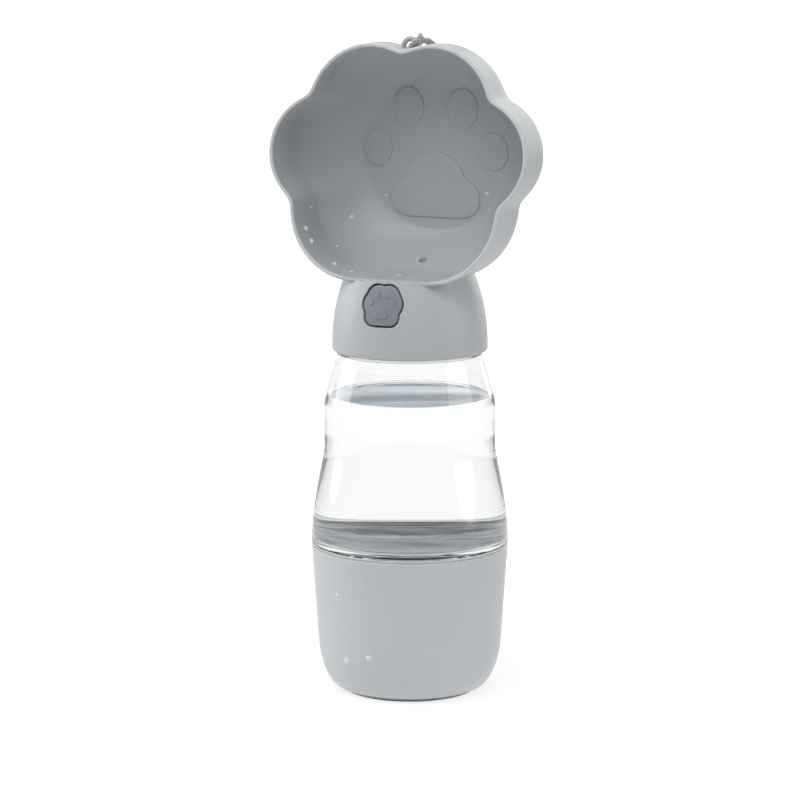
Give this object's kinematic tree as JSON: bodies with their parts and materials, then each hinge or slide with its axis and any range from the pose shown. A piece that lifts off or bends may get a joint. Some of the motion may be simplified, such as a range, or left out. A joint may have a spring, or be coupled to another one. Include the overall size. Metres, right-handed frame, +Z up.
{
  "type": "dog travel water bottle",
  "caption": "Travel water bottle for dogs: paw shaped drinking bowl with push button valve on a clear bottle that screws onto a food cup, with a wrist lanyard.",
  "frame": {"origin": "centre of the food cup's foot, on the bottle's axis", "axes": "+Z up along the bottle's axis, -Y towards the front, where the bowl opens and the button sits, +X to the right of a viewer who faces the front"},
  "size_m": [0.098, 0.0706, 0.2355],
  "materials": {
    "shell_plastic": "satin moulded ABS, light cool grey",
    "clear_plastic": "clear polished copolyester",
    "silicone_white": "matt food grade silicone",
    "button_plastic": "satin moulded plastic, mid grey",
    "inner_plastic": "natural white polypropylene",
    "nitrile": "black O-ring rubber",
    "steel": "stainless wire and screws",
    "cord_braid": "round braided polyester, grey and white",
    "ferrule_plastic": "satin moulded plastic"
  },
  "bodies": {
    "food_cup": {"food_cup": "shell_plastic"},
    "cup_seal": {"cup_seal_ring": "silicone_white"},
    "bottle": {"bottle": "clear_plastic"},
    "neck_seal": {"neck_gasket": "silicone_white"},
    "head": {"paw_bowl": "shell_plastic", "screw_insert": "inner_plastic", "valve_body": "inner_plastic", "valve_screws": "steel", "inlet_seal": "nitrile", "outlet_grommet": "silicone_white", "vent_valve": "silicone_white", "barrel_plug": "inner_plastic", "plug_oring": "nitrile", "lanyard_cord": "cord_braid", "lanyard_ferrule": "ferrule_plastic"},
    "button": {"paw_button": "button_plastic", "valve_stem": "inner_plastic", "stem_oring": "nitrile", "poppet_washer": "silicone_white", "return_spring": "steel"}
  },
  "joints": [
    {"name": "cup_rise", "type": "slide", "parent": "food_cup", "child": "cup_seal", "axis": [0, 0, 1], "range_m": [0, 0.005]},
    {"name": "cup_unscrew", "type": "hinge", "parent": "cup_seal", "child": "bottle", "pos_m": [0, 0, 0.05], "axis": [0, 0, 1], "range_deg": [0, 450]},
    {"name": "head_rise", "type": "slide", "parent": "bottle", "child": "neck_seal", "axis": [0, 0, 1], "range_m": [0, 0.00375]},
    {"name": "head_unscrew", "type": "hinge", "parent": "neck_seal", "child": "head", "pos_m": [0, 0, 0.13], "axis": [0, 0, 1], "range_deg": [0, 450]},
    {"name": "button_press", "type": "slide", "parent": "head", "child": "button", "axis": [0, 1, 0], "range_m": [0, 0.003], "stiffness_N_per_m": 400, "springref_m": -0.004, "deforming": ["return_spring"]}
  ],
  "couplings": [
    {"joint": "cup_rise", "follows": "cup_unscrew", "m_per_rad": 0.0006366},
    {"joint": "head_rise", "follows": "head_unscrew", "m_per_rad": 0.00047746}
  ]
}
